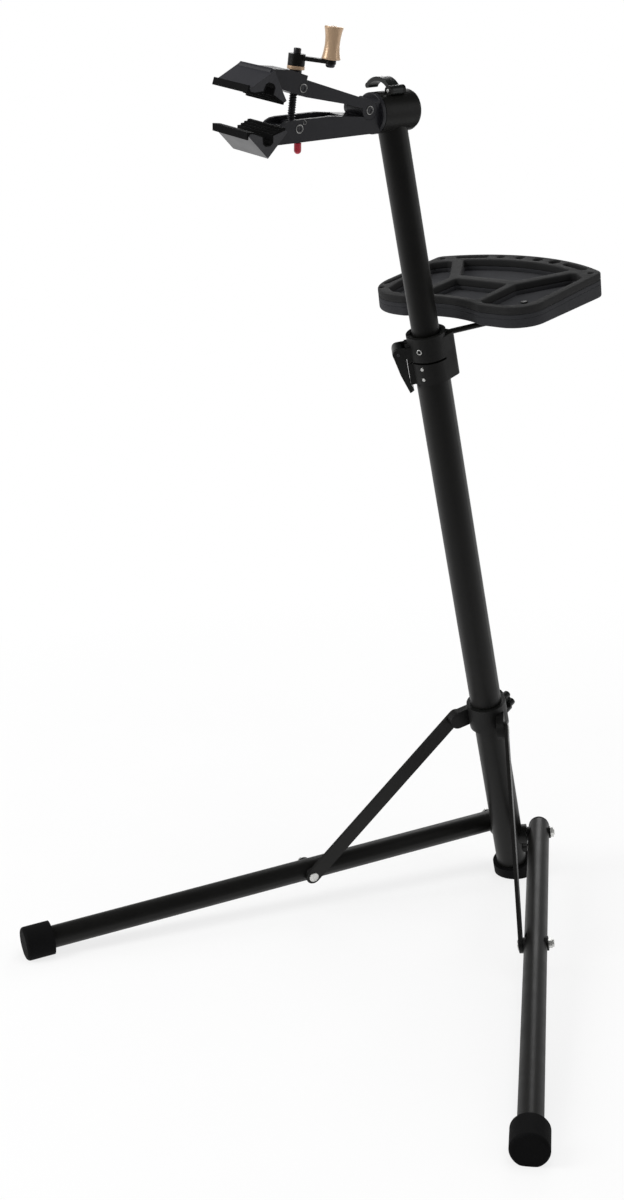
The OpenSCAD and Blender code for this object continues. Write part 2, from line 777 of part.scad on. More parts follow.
module strut_bolt() {
    color("#c4c4c4") leg_frame() translate([0, 0, strut_at]) union() {
        out(strut_bolt_r, n_strut - leg_off, leg_r + 9);
        translate([n_strut - gap - leg_off, 0, 0]) rotate([0, -90, 0]) button(8, n_strut - gap - n_head, 1);
        out(strut_bolt_r, n_strut - gap - leg_off, 0);
        translate([leg_r + 2, 0, 0]) rotate([0, 90, 0]) cylinder(h = 5.5, r = strut_bolt_r + 3.5, $fn = 6);
        translate([leg_r + 7.5, 0, 0]) rotate([0, 90, 0]) button(strut_bolt_r + 2, 3, 1);
    }
}
module strut() {
    color("#1e1e1e") strut_frame() difference() {
        translate([n_strut - leg_off, 0, 0]) rotate([90, 0, 90])
            linear_extrude(height = n_face - n_strut) union() {
            translate([-strut_w / 2, 0]) square([strut_w, strut_len]);
            circle(d = strut_w);
            translate([0, strut_len]) circle(d = strut_w);
        }
        out(strut_bolt_r + fit, -90, 40);
        translate([0, 0, strut_len]) out(strut_bolt_r, -90, 40);
    }
}
module lug_bolt() {
    color("#c4c4c4") strut_frame() translate([0, 0, strut_len]) union() {
        out(strut_bolt_r, n_strut - leg_off, n_face - leg_off);
        translate([n_face - leg_off, 0, 0]) rotate([0, 90, 0]) button(8, 1.5, 0.8);
    }
}
module left_leg() left() leg();
module left_plug() left() plug();
module left_foot() left() foot();
module left_saddles() left() saddles();
module left_strut_bolt() left() strut_bolt();
module left_strut() left() strut();
module left_lug_bolt() left() lug_bolt();
module right_leg() leg();
module right_plug() plug();
module right_foot() foot();
module right_saddles() saddles();
module right_strut_bolt() strut_bolt();
module right_strut() strut();
module right_lug_bolt() lug_bolt();

// Tool tray
module tray_corner() {
    r = 15;
    y = tray_mid + sqrt(pow(tray_arc - r, 2) - pow(tray_half - r, 2));
    k = tray_arc / (tray_arc - r);
    difference() {
        polygon([[tray_half - r, y], [tray_half + 9, y], [tray_half + 9, y + 60],
            [(tray_half - r) * k, tray_mid + (y - tray_mid) * k]]);
        translate([tray_half - r, y]) circle(r = r);
    }
}
module tray_outline() {
    difference() {
        intersection() {
            translate([-tray_half, tray_front]) square([tray_w, 400]);
            translate([0, tray_mid]) circle(r = tray_arc, $fn = 240);
        }
        translate([0, tray_front + tray_hollow - hollow_r]) circle(r = hollow_r, $fn = 180);
        for (k = [0, 1]) mirror([k, 0]) {
            f = front_corners[k];
            difference() {
                translate([tray_half - f, tray_front - 9]) square([f + 9, f + 9]);
                translate([tray_half - f, tray_front + f]) circle(r = f);
            }
            tray_corner();
        }
    }
}
module pockets() {
    u = tray_front;
    // Fan at the rear
    intersection() {
        polygon([[-51, u + 120], [51, u + 120], [109, u + 209], [-109, u + 209]]);
        translate([0, tray_mid]) circle(r = tray_arc - 30, $fn = 180);
    }
    // Trapezium behind the mast
    difference() {
        polygon([[-50, u + 8], [50, u + 8], [46, u + 102], [-46, u + 102]]);
        translate([0, u + tray_hollow - hollow_r]) circle(r = hollow_r + 12, $fn = 180);
    }
    // One pocket on each side, narrower beside the slot of the left edge
    polygon([[60, u + 17], [72, u + 12], [107, u + 13], [129, u + 26], [134, u + 46], [136, u + 160],
        [117, u + 176], [108, u + 176], [60, u + 104]]);
    polygon([[-60, u + 17], [-72, u + 15], [-98, u + 17], [-115, u + 28], [-123, u + 62], [-124, u + 106],
        [-134, u + 122], [-136, u + 160], [-117, u + 176], [-108, u + 176], [-60, u + 104]]);
}
module rim_holes() {
    // Screwdriver holes of growing size and two long slots that follow the rear edge
    for (k = [0 : 3]) translate([0, tray_mid]) rotate([0, 0, 10.8 - 7.2 * k]) {
        translate([0, tray_arc - 13]) circle(r = 5.6 + k);
    }
    for (s = [-1, 1]) translate([0, tray_mid]) rotate([0, 0, s * 21]) translate([0, tray_arc - 13.5]) {
        square([50, 11], center = true);
    }
    for (s = [-1, 1]) translate([s * (tray_half - 14), tray_mid + 222]) circle(r = 4);
    translate([-tray_half + 8.5, tray_front + 46]) square([6.5, 54]);
    translate([-tray_half + 19, tray_front + 29]) circle(r = 3.5);
}
// Radii of the front corners, on the +X side and on the -X side
front_corners = [45, 66];
tray_screw_x = 92;
strap_half = tray_screw_x + 10;
tray_screw_y = tray_front + 77;
module tray_base() {
    color("#34353a") tray_frame() difference() {
        translate([0, 0, -tray_under - 20]) linear_extrude(height = base_t + 20) tray_outline();
        // Sloping underside with a flat seat for the strap
        translate([0, tray_screw_y, -tray_under]) rotate([-wedge, 0, 0]) {
            translate([-400, -400, -100]) cube([800, 800, 100]);
        }
        translate([-strap_half - gap, tray_screw_y - 10 - gap, -tray_under - 60 + 0.8]) {
            cube([2 * strap_half + 2 * gap, 20 + 2 * gap, 60]);
        }
        translate([0, 0, -foam_t - pocket_deep]) linear_extrude(height = 40) pockets();
        translate([0, 0, -foam_t - pocket_deep]) linear_extrude(height = 40) rim_holes();
        for (s = [-1, 1]) translate([s * tray_screw_x, tray_screw_y, 0]) rod(2.5, -60, 0);
    }
}
module tray_foam() {
    color("#17171a") tray_frame() difference() {
        translate([0, 0, -foam_t]) linear_extrude(height = foam_t) tray_outline();
        translate([0, 0, -40]) linear_extrude(height = 80) pockets();
        translate([0, 0, -40]) linear_extrude(height = 80) rim_holes();
    }
}
module tray_screws() {
    color("#8c8c8c") tray_frame() for (s = [-1, 1]) translate([s * tray_screw_x, tray_screw_y, 0]) union() {
        rod(2.5, -tray_under - 6, -foam_t - pocket_deep);
        translate([0, 0, -foam_t - pocket_deep]) button(5, 2.4, 1);
    }
}
// Steel strap under the tray that the rod is welded to
module tray_plate() {
    color("#1a1a1a") tray_frame() difference() {
        translate([-strap_half, tray_screw_y - 10, -tray_under - 2.4]) {
            cube([2 * strap_half, 20, 3.2]);
        }
        for (s = [-1, 1]) translate([s * tray_screw_x, tray_screw_y, -60]) cylinder(h = 60, r = 2.5);
    }
}
// The rod runs to a point under the strap, given in the mast frame
function tray_point(x, y, z) = let (
    c = cos(tray_turn), s = sin(tray_turn), a = c * x + s * y, b = c * y - s * x
) [a, b * cos(tray_lean) + z * sin(tray_lean), tray_t + z * cos(tray_lean) - b * sin(tray_lean)];
function rod_weld() = tray_point(72, tray_screw_y, -tray_under - 2.4 - rod_r);
module tray_rod() {
    bend = [rod_x, rod_y, rod_top];
    weld = rod_weld();
    color("#1a1a1a") mast_frame() union() {
        translate([rod_x, rod_y, 0]) rod(rod_r, rod_low, rod_top);
        translate(bend) sphere(r = rod_r + 0.1);
        link(bend, weld, rod_r);
    }
}

lower_tube();
mast_foot();
leg_brackets();
bracket_screws();
pivot_bolts();
height_collar();
guide_bush();
collar_fixings();
height_lever_pin();
height_lever();
glide_bush();
upper_tube();
head_tube();
head_lever_pin();
head_lever();
spindle();
spindle_cap();
spindle_bolt();
lower_arm();
lower_jaw();
lower_pad();
lower_jaw_screws();
arm_pin();
upper_arm();
upper_jaw();
upper_pad();
upper_jaw_screws();
bearing_block();
thrust_ring();
clamp_screw();
crank();
crank_screw();
grip_axle();
crank_grip();
screw_nut();
trigger();
slide_collar();
collar_liner();
collar_knob();
knob_stud();
left_leg();
left_plug();
left_foot();
left_saddles();
left_strut_bolt();
left_strut();
left_lug_bolt();
right_leg();
right_plug();
right_foot();
right_saddles();
right_strut_bolt();
right_strut();
right_lug_bolt();
tray_rod();
tray_plate();
tray_base();
tray_foam();
tray_screws();
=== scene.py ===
"""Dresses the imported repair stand: edges, thread, bent rod, materials, light and camera."""
import json
import math

import bmesh
import bpy
from mathutils import Matrix, Vector


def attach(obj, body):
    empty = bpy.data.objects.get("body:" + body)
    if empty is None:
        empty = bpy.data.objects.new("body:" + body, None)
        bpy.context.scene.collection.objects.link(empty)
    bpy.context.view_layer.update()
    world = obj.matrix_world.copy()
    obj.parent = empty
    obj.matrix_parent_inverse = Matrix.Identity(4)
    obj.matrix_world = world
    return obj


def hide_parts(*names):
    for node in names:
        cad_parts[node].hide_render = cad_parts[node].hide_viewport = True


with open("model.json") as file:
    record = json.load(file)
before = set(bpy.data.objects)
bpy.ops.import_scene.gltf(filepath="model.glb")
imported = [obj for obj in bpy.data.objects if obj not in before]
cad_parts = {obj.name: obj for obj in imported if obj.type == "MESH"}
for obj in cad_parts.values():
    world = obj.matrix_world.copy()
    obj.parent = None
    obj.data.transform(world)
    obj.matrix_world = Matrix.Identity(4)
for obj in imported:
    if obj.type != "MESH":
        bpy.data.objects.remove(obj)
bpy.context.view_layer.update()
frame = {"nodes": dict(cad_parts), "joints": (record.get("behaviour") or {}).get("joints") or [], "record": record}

scene = bpy.context.scene
scene.view_settings.view_transform = "Standard"
NODES = frame["nodes"]
JOINTS = {j["name"]: j for j in frame["joints"]}
BODY_OF = {n: b for b, ns in frame["record"]["behaviour"]["bodies"].items() for n in ns}
SLOT_OF = {s["node"]: s["material_slot"] for s in frame["record"]["subparts"]}


# Frames of the stand, in metres
LEAN = math.radians(17.8)
MAST = Matrix.Rotation(LEAN, 4, "X")
SCREW_POS = Vector(JOINTS["crank_turn"]["pos_m"])
SCREW_UP = -Vector(JOINTS["crank_turn"]["axis"])


def axis_frame(origin, direction):
    """Frame with its Z along a direction."""
    return Matrix.Translation(origin) @ direction.to_track_quat("Z", "Y").to_matrix().to_4x4()


# Materials
COAT_ROUGH, LEAST_ROUGH = 0.15, 0.02
BUMP_DEPTH = 0.001
# Noise values between which a colour or gloss goes from one end to the other
LOW, HIGH = 0.3, 0.7
BLOTCH_DETAIL, GRAIN_DETAIL, GLOSS_DETAIL, GLOSS_FINER = 5.0, 3.0, 4.0, 4


def new_material(name):
    m = bpy.data.materials.new(name)
    m.use_nodes = True
    nt = m.node_tree
    shader = nt.nodes["Principled BSDF"]
    return m, nt, shader


def add(nt, kind, **values):
    n = nt.nodes.new(kind)
    for key, v in values.items():
        if key in n.inputs:
            n.inputs[key].default_value = v
        else:
            setattr(n, key, v)
    return n


def noise_at(nt, coords, scale, detail=4.0, rough=0.6):
    n = add(nt, "ShaderNodeTexNoise", Scale=scale, Detail=detail, Roughness=rough)
    nt.links.new(coords, n.inputs["Vector"])
    return n.outputs["Fac"]


def ramp(nt, fac, stops):
    """Colours between two stops, each a position and a colour."""
    n = nt.nodes.new("ShaderNodeValToRGB")
    for e, (pos, col) in zip(n.color_ramp.elements, stops):
        e.position = pos
        e.color = (*col, 1.0)
    nt.links.new(fac, n.inputs["Fac"])
    return n.outputs["Color"]


def grey(v):
    return (v, v, v)


def shade(col, k):
    return tuple(min(1.0, c * k) for c in col)


def surface(name, colour, rough, grain, bump, metallic=0.0, vary=0.18, blotch=9.0, rough_vary=0.08,
            specular=0.5, coat=0.0, sheen=0.0):
    """Procedural finish: blotchy colour, uneven gloss and a fine grain."""
    m, nt, sh = new_material(name)
    coords = add(nt, "ShaderNodeTexCoord").outputs["Object"]
    big = noise_at(nt, coords, blotch, BLOTCH_DETAIL)
    fine = noise_at(nt, coords, grain, GRAIN_DETAIL)
    base = ramp(nt, big, [(LOW, shade(colour, 1 - vary)), (HIGH, shade(colour, 1 + vary))])
    nt.links.new(base, sh.inputs["Base Color"])
    smooth, dull = max(LEAST_ROUGH, rough - rough_vary), min(1.0, rough + rough_vary)
    gloss = ramp(nt, noise_at(nt, coords, blotch * GLOSS_FINER, GLOSS_DETAIL),
                 [(LOW, grey(smooth)), (HIGH, grey(dull))])
    nt.links.new(gloss, sh.inputs["Roughness"])
    b = add(nt, "ShaderNodeBump", Strength=bump, Distance=BUMP_DEPTH)
    nt.links.new(fine, b.inputs["Height"])
    nt.links.new(b.outputs["Normal"], sh.inputs["Normal"])
    sh.inputs["Metallic"].default_value = metallic
    sh.inputs["Specular IOR Level"].default_value = specular
    sh.inputs["Coat Weight"].default_value = coat
    sh.inputs["Coat Roughness"].default_value = COAT_ROUGH
    sh.inputs["Sheen Weight"].default_value = sheen
    return m


FINISHES = {
    "powder_black": dict(colour=(0.0050, 0.0049, 0.0044), rough=0.42, grain=1500, bump=0.05, vary=0.10,
                         specular=0.25, rough_vary=0.04),
    "cast_black": dict(colour=(0.0058, 0.0058, 0.0055), rough=0.50, grain=1200, bump=0.08, vary=0.10,
                       specular=0.28),
    "rubber_black": dict(colour=(0.0050, 0.0050, 0.0052), rough=0.70, grain=1800, bump=0.12, specular=0.06),
    "zinc_steel": dict(colour=(0.68, 0.68, 0.66), rough=0.28, metallic=0.7, grain=2200, bump=0.04, blotch=60),
    "lever_plastic": dict(colour=(0.0050, 0.0062, 0.0056), rough=0.34, grain=1600, bump=0.05, specular=0.40),
    "grey_alloy": dict(colour=(0.0125, 0.0125, 0.0155), rough=0.40, grain=1300, bump=0.06, vary=0.10,
                       specular=0.35, rough_vary=0.05),
    # Jaw finishes: copies of the arms' alloy with a lighter colour, and on the lower jaw a much stronger gloss, as
    # painted light for how light and floor reflection fall on the jaws
    "lower_jaw_lit_copy": dict(colour=(0.0170, 0.0172, 0.0210), rough=0.34, grain=1300, bump=0.05, vary=0.10,
                      specular=0.80, rough_vary=0.05),
    "upper_jaw_lighter_copy": dict(colour=(0.0230, 0.0233, 0.0275), rough=0.38, grain=1300, bump=0.05, vary=0.10,
                            specular=0.42, rough_vary=0.05),
    "black_screw": dict(colour=(0.012, 0.012, 0.012), rough=0.40, grain=1800, bump=0.04, blotch=50),
    "dark_steel": dict(colour=(0.075, 0.075, 0.080), rough=0.36, metallic=0.9, grain=1800, bump=0.04,
                       blotch=50),
    "champagne_alloy": dict(colour=(0.56, 0.385, 0.245), rough=0.30, metallic=0.35, grain=2000, bump=0.03,
                            vary=0.05, rough_vary=0.05),
    "red_plastic": dict(colour=(0.46, 0.012, 0.035), rough=0.28, grain=1200, bump=0.04, coat=0.3),
    "tray_grey": dict(colour=(0.029, 0.0295, 0.0325), rough=0.88, grain=900, bump=0.22, blotch=30, vary=0.10,
                      sheen=0.05, specular=0.18),
    "tray_black": dict(colour=(0.0185, 0.0185, 0.0188), rough=0.90, grain=800, bump=0.26, blotch=30, vary=0.12,
                       sheen=0.05, specular=0.18),
}
MATERIALS = {name: surface(name, **finish) for name, finish in FINISHES.items()}

# Pieces that look different from the rest of their slot: black tray screws, and on the jaws lighter and glossier
# copies of the arms' alloy that paint in the light falling on them
LOOKS = {"lower_jaw": "lower_jaw_lit_copy", "upper_jaw": "upper_jaw_lighter_copy", "tray_screws": "black_screw"}

# Points closer than this are one point, and faces flatter than this are one face
SAME_POINT = 1e-6
SAME_PLANE = math.radians(0.4)
# Edges flatter than these angles, in degrees, are shaded smooth
SMOOTH_ROUND, SMOOTH_TURNED, SMOOTH_LAYER = 50.0, 40.0, 35.0


def finish_mesh(ob, smooth_angle):
    """Smooth shading that keeps the edges above an angle."""
    me = ob.data
    bm = bmesh.new()
    bm.from_mesh(me)
    for f in bm.faces:
        f.smooth = True
    for e in bm.edges:
        e.smooth = len(e.link_faces) == 2 and e.calc_face_angle(0.0) < math.radians(smooth_angle)
    bm.to_mesh(me)
    bm.free()


def piece(name, me, body, material, replaced=()):
    """Object that rides on a body and may stand in for nodes."""
    ob = bpy.data.objects.new(name, me)
    scene.collection.objects.link(ob)
    me.materials.clear()
    me.materials.append(material)
    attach(ob, body)
    if replaced:
        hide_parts(*replaced)
    return ob


def bevelled(node, width, segments=3, angle=32.0):
    """Copy of a solid with its edges rounded, in place of the solid."""
    bm = bmesh.new()
    bm.from_mesh(NODES[node].data)
    bmesh.ops.remove_doubles(bm, verts=bm.verts, dist=SAME_POINT)
    bmesh.ops.dissolve_limit(bm, angle_limit=SAME_PLANE, verts=bm.verts, edges=bm.edges)
    me = bpy.data.meshes.new(node + "_skin")
    bm.to_mesh(me)
    bm.free()
    tmp = bpy.data.objects.new(node + "_tmp", me)
    scene.collection.objects.link(tmp)
    mod = tmp.modifiers.new("edge", "BEVEL")
    mod.width = width
    mod.segments = segments
    mod.limit_method = "ANGLE"
    mod.angle_limit = math.radians(angle)
    mod.use_clamp_overlap = True
    mod.miter_outer = "MITER_ARC"
    wn = tmp.modifiers.new("normals", "WEIGHTED_NORMAL")
    wn.keep_sharp = True
    for p in me.polygons:
        p.use_smooth = True
    dg = bpy.context.evaluated_depsgraph_get()
    out = bpy.data.meshes.new_from_object(tmp.evaluated_get(dg))
    out.name = node + "_skin"
    bpy.data.objects.remove(tmp)
    slot = SLOT_OF[node]
    piece(node + "_skin", out, BODY_OF[node], MATERIALS[LOOKS.get(node, slot)], (node,))


# Edge radius in metres and the nodes that get it
BEVELS = {
    0.0006: ["leg_brackets", "pivot_bolts", "bracket_screws", "collar_fixings", "spindle_bolt", "arm_pin",
             "left_strut_bolt", "right_strut_bolt", "crank_screw", "bearing_block", "screw_nut",
             "spindle_cap", "thrust_ring", "height_lever_pin", "head_lever_pin", "lower_pad", "upper_pad",
             "height_lever", "height_collar"],
    0.0010: ["spindle", "lower_jaw", "upper_jaw", "head_tube", "left_saddles", "right_saddles",
             "left_strut", "right_strut", "slide_collar", "tray_plate", "trigger", "crank"],
    0.0016: ["lower_arm", "upper_arm", "head_lever", "collar_knob"],
}
for width, names in BEVELS.items():
    for node in names:
        bevelled(node, width)


def polar(i, sides, radius, z):
    """One of equally many points around the axis."""
    t = 2 * math.pi * i / sides
    return Vector((radius * math.cos(t), radius * math.sin(t), z))


def mesh_from(name, verts, faces):
    me = bpy.data.meshes.new(name)
    me.from_pydata([tuple(v) for v in verts], [], faces)
    bm = bmesh.new()
    bm.from_mesh(me)
    bmesh.ops.recalc_face_normals(bm, faces=bm.faces)
    for f in bm.faces:
        f.smooth = True
    bm.to_mesh(me)
    bm.free()
    return me


def skin_rings(rings):
    """Closed skin over a row of rings with equally many points."""
    n = len(rings[0])
    verts = [v for r in rings for v in r]
    faces = []
    for k in range(len(rings) - 1):
        a, b = k * n, (k + 1) * n
        faces += [(a + i, a + (i + 1) % n, b + (i + 1) % n, b + i) for i in range(n)]
    last = (len(rings) - 1) * n
    faces += [tuple(reversed(range(n))), tuple(range(last, last + n))]
    return verts, faces


# Threaded clamp screw in place of its plain shaft
THREAD = {"pitch": 0.003, "crest": 0.005, "root": 0.0041, "low": -0.065, "high": 0.0195, "top": 0.0395,
          "lead_in": 0.0015, "runout": 0.0004, "around": 40, "per_pitch": 12}
FLANK, CREST_START = 4.0, 0.45


def thread_radius(u):
    """Trapezium profile over one pitch."""
    u = u % 1.0
    rise = min(max((0.5 - abs(u - 0.5)) * FLANK - CREST_START, 0.0), 1.0)
    return THREAD["root"] + (THREAD["crest"] - THREAD["root"]) * rise


def screw_rings():
    around = THREAD["around"]
    deep = THREAD["crest"] - THREAD["root"]
    step = THREAD["pitch"] / THREAD["per_pitch"]
    count = int(round((THREAD["high"] - THREAD["low"]) / step))
    rings = []
    for k in range(count + 1):
        z = THREAD["low"] + k * step
        lead_in = min(1.0, (z - THREAD["low"]) / THREAD["lead_in"])
        cut_back = deep * (1.0 - lead_in)
        rings.append([polar(i, around, thread_radius(z / THREAD["pitch"] - i / around) - cut_back, z)
                      for i in range(around)])
    for z in (THREAD["high"] + THREAD["runout"], THREAD["top"]):
        rings.append([polar(i, around, THREAD["crest"], z) for i in range(around)])
    return rings


verts, faces = skin_rings(screw_rings())
at = axis_frame(SCREW_POS, SCREW_UP)
me = mesh_from("thread", [at @ v for v in verts], faces)
screw = piece("threaded_screw", me, "crank", MATERIALS["dark_steel"], ("clamp_screw",))
finish_mesh(screw, SMOOTH_ROUND)


# Tray rod with a real bend instead of a mitre
def bent_rod(points, radius, bend, sides=28, arc_steps=10):
    """Round rod along straight runs with a rounded bend at each inner point."""
    pts = [Vector(p) for p in points]
    line = [pts[0]]
    for a, b, c in zip(pts, pts[1:], pts[2:]):
        d0, d1 = (a - b).normalized(), (c - b).normalized()
        half_angle = d0.angle(d1) / 2
        reach = bend / math.tan(half_angle)
        centre = b + (d0 + d1).normalized() * (bend / math.sin(half_angle))
        start, end = b + d0 * reach - centre, b + d1 * reach - centre
        sweep = start.angle(end)
        for k in range(arc_steps + 1):
            t = k / arc_steps
            blend = start * math.sin((1 - t) * sweep) + end * math.sin(t * sweep)
            line.append(centre + blend / math.sin(sweep))
    line.append(pts[-1])
    rings = []
    side = (line[1] - line[0]).orthogonal().normalized()
    angles = [2 * math.pi * i / sides for i in range(sides)]
    for k, p in enumerate(line):
        d = (line[min(k + 1, len(line) - 1)] - line[max(k - 1, 0)]).normalized()
        side = (side - d * side.dot(d)).normalized()
        other = d.cross(side)
        rings.append([p + (side * math.cos(t) + other * math.sin(t)) * radius for t in angles])
    return skin_rings(rings)


# Points of the rod in the frame of the mast
ROD = {"bend": (0.02428, 0.01830, 1.00026), "weld": (0.08084, 0.10695, 0.99016), "low": 0.939,
       "radius": 0.004, "bend_radius": 0.006}
verts, faces = bent_rod([MAST @ Vector((*ROD["bend"][:2], ROD["low"])), MAST @ Vector(ROD["bend"]),
                         MAST @ Vector(ROD["weld"])], ROD["radius"], ROD["bend_radius"])
rod_slot = SLOT_OF["tray_rod"]
rod = piece("bent_rod", mesh_from("bent_rod", verts, faces), BODY_OF["tray_rod"], MATERIALS[rod_slot],
            ("tray_rod",))
finish_mesh(rod, SMOOTH_ROUND)


# Tray layers: outlines of the solid's top, with rounded corners and edges
TRAY_UP, TRAY_LEAN, TRAY_TURN = 1.042, math.radians(-6.5), math.radians(-4.4)
TRAY = (MAST @ Matrix.Translation((0, 0, TRAY_UP)) @ Matrix.Rotation(TRAY_LEAN, 4, "X")
        @ Matrix.Rotation(TRAY_TURN, 4, "Z"))
FOAM_T, POCKET, UNDER = 0.011, 0.006, 0.033
SEAT_Y, WEDGE = 0.118, math.tan(math.radians(2.0))
FOAM_EDGE, SEAM_EDGE, BASE_EDGE, EDGE_STEPS = 0.0022, 0.0007, 0.004, 5
POCKET_AREA, POCKET_CORNER, HOLE_CORNER = 0.0012, 0.007, 0.006


# A face belongs to the top if it looks up and lies level
UPWARD, LEVEL = 0.999, 1e-5


def top_loops(node, frame_of):
    """Closed outlines of the flat top of a solid, in its own frame."""
    inv = frame_of.inverted()
    bm = bmesh.new()
    bm.from_mesh(NODES[node].data)
    bm.transform(inv)
    bmesh.ops.remove_doubles(bm, verts=bm.verts, dist=SAME_POINT)
    bm.normal_update()
    top = {f for f in bm.faces if f.normal.z > UPWARD and all(abs(v.co.z) < LEVEL for v in f.verts)}
    follow = {}
    for f in top:
        for loop in f.loops:
            if loop.link_loop_radial_next.face not in top:
                follow[loop.vert.index] = loop.link_loop_next.vert.index
    at = {v.index: v.co.xy.copy() for v in bm.verts}
    bm.free()
    loops = []
    while follow:
        start, k = next(iter(follow.items()))
        ring = [at[start]]
        del follow[start]
        while k != start:
            ring.append(at[k])
            k = follow.pop(k)
        loops.append(ring)
    return sorted(loops, key=lambda r: -abs(area_of(r)))


def area_of(ring):
    return sum(a.x * b.y - b.x * a.y for a, b in zip(ring, ring[1:] + ring[:1])) / 2


# Largest share of a side that a rounded corner takes
CORNER_SHARE = 0.46


def rounded(ring, radius, least_turn=18.0, steps=8):
    """Outline with its corners replaced by arcs."""
    n = len(ring)
    out = []
    for i in range(n):
        p0, p, p1 = ring[i - 1], ring[i], ring[(i + 1) % n]
        d0, d1 = p - p0, p1 - p
        turn = abs(d0.angle_signed(d1))
        if turn < math.radians(least_turn):
            out.append(p)
            continue
        cut = min(radius * math.tan(turn / 2), CORNER_SHARE * d0.length, CORNER_SHARE * d1.length)
        a, b = p - d0.normalized() * cut, p + d1.normalized() * cut
        for k in range(steps + 1):
            t = k / steps
            out.append(a * (1 - t) ** 2 + p * (2 * t * (1 - t)) + b * t ** 2)
    return out


def smoothed(ring, spacing=0.0015, reach=4):
    """Outline with even points and softened corners."""
    ends = ring + ring[:1]
    lengths = [0.0]
    for a, b in zip(ends, ends[1:]):
        lengths.append(lengths[-1] + (b - a).length)
    count = int(lengths[-1] / spacing)
    even, k = [], 0
    for i in range(count):
        d = lengths[-1] * i / count
        while lengths[k + 1] < d:
            k += 1
        even.append(ends[k].lerp(ends[k + 1], (d - lengths[k]) / (lengths[k + 1] - lengths[k])))
    weights = [math.exp(-0.5 * (2.0 * j / reach) ** 2) for j in range(-reach, reach + 1)]
    total = sum(weights)
    near = list(zip(range(-reach, reach + 1), weights))
    return [sum((even[(i + j) % count] * w for j, w in near), Vector((0, 0))) / total for i in range(count)]


def layer(name, rings, low, high, edge, node, replaced):
    """Flat layer with holes and rounded edges."""
    curve = bpy.data.curves.new(name, "CURVE")
    curve.dimensions = "2D"
    curve.fill_mode = "BOTH"
    curve.extrude = (high - low) / 2 - edge
    curve.bevel_depth = edge
    curve.bevel_resolution = 3
    curve.offset = -edge
    for ring in rings:
        spline = curve.splines.new("POLY")
        spline.points.add(len(ring) - 1)
        for point, p in zip(spline.points, ring):
            point.co = (p.x, p.y, 0.0, 1.0)
        spline.use_cyclic_u = True
    tmp = bpy.data.objects.new(name + "_tmp", curve)
    scene.collection.objects.link(tmp)
    me = bpy.data.meshes.new_from_object(tmp.evaluated_get(bpy.context.evaluated_depsgraph_get()))
    bpy.data.objects.remove(tmp)
    bm = bmesh.new()
    bm.from_mesh(me)
    bmesh.ops.remove_doubles(bm, verts=bm.verts, dist=2 * SAME_POINT)
    bmesh.ops.recalc_face_normals(bm, faces=bm.faces)
    bm.transform(TRAY @ Matrix.Translation((0, 0, (low + high) / 2)))
    bm.to_mesh(me)
    bm.free()
    me.name = name
    ob = piece(name, me, BODY_OF[node], MATERIALS[SLOT_OF[node]], replaced)
    finish_mesh(ob, SMOOTH_LAYER)


def inset(ring, amount):
    """Outline moved inward along its point normals."""
    n = len(ring)
    out = []
    for i in range(n):
        along = (ring[(i + 1) % n] - ring[i - 1]).normalized()
        out.append(ring[i] + Vector((-along.y, along.x)) * amount)
    return out


loops = top_loops("tray_foam", TRAY)
outer = smoothed(loops[0])
if area_of(outer) < 0:
    outer.reverse()
holes = [rounded(r, POCKET_CORNER if abs(area_of(r)) > POCKET_AREA else HOLE_CORNER) for r in loops[1:]]
layer("foam_layer", [outer] + holes, -FOAM_T, 0.0, FOAM_EDGE, "tray_foam", ("tray_foam",))
layer("pocket_layer", [outer] + holes, -FOAM_T - POCKET, -FOAM_T, SEAM_EDGE, "tray_base", ("tray_base",))


def underside(y):
    return -UNDER - (y - SEAT_Y) * WEDGE


rings = [[Vector((p.x, p.y, -FOAM_T - POCKET)) for p in inset(outer, SEAM_EDGE)],
         [Vector((p.x, p.y, -FOAM_T - POCKET - SEAM_EDGE)) for p in outer]]
for k in range(EDGE_STEPS + 1):
    t = math.pi / 2 * k / EDGE_STEPS
    rings.append([Vector((p.x, p.y, underside(p.y) + BASE_EDGE * (1 - math.sin(t))))
                  for p in inset(outer, BASE_EDGE * (1 - math.cos(t)))])
verts, faces = skin_rings([[TRAY @ v for v in r] for r in rings])
slab = piece("base_layer", mesh_from("base_layer", verts, faces), BODY_OF["tray_base"],
             MATERIALS["tray_grey"])
finish_mesh(slab, SMOOTH_LAYER)


# Heads of the pivot screws and sockets of the fasteners
def lathe(name, profile, place, body, slot, sides=32):
    """Turned detail from a profile of radius and height that starts and ends on the axis."""
    rows = profile[1:-1]
    verts = [place @ Vector((0, 0, profile[0][1]))]
    for r, z in rows:
        verts += [place @ polar(i, sides, r, z) for i in range(sides)]
    verts.append(place @ Vector((0, 0, profile[-1][1])))
    faces = [(0, 1 + (i + 1) % sides, 1 + i) for i in range(sides)]
    for k in range(len(rows) - 1):
        a, b = 1 + k * sides, 1 + (k + 1) * sides
        faces += [(a + i, a + (i + 1) % sides, b + (i + 1) % sides, b + i) for i in range(sides)]
    last = 1 + (len(rows) - 1) * sides
    faces += [(last + i, last + (i + 1) % sides, len(verts) - 1) for i in range(sides)]
    ob = piece(name, mesh_from(name, verts, faces), body, MATERIALS[slot])
    finish_mesh(ob, SMOOTH_TURNED)


def spun(name, loop, place, body, slot, replaced=(), sides=48):
    """Turned ring from a closed profile of radius and height."""
    n = len(loop)
    verts = [place @ polar(i, sides, r, z) for i in range(sides) for r, z in loop]
    faces = [(i * n + k, (i + 1) % sides * n + k, (i + 1) % sides * n + (k + 1) % n, i * n + (k + 1) % n)
             for i in range(sides) for k in range(n)]
    ob = piece(name, mesh_from(name, verts, faces), body, MATERIALS[slot], replaced)
    finish_mesh(ob, SMOOTH_TURNED)


# Crank grip with rounded ends
GRIP = {"length": 0.040, "waist": 0.0095, "flare": 0.003, "bore": 0.00306, "seat": 0.00506,
        "seat_deep": 0.003, "edge": 0.0014, "edge_steps": 5, "rows": 24, "from_middle": 0.0222}


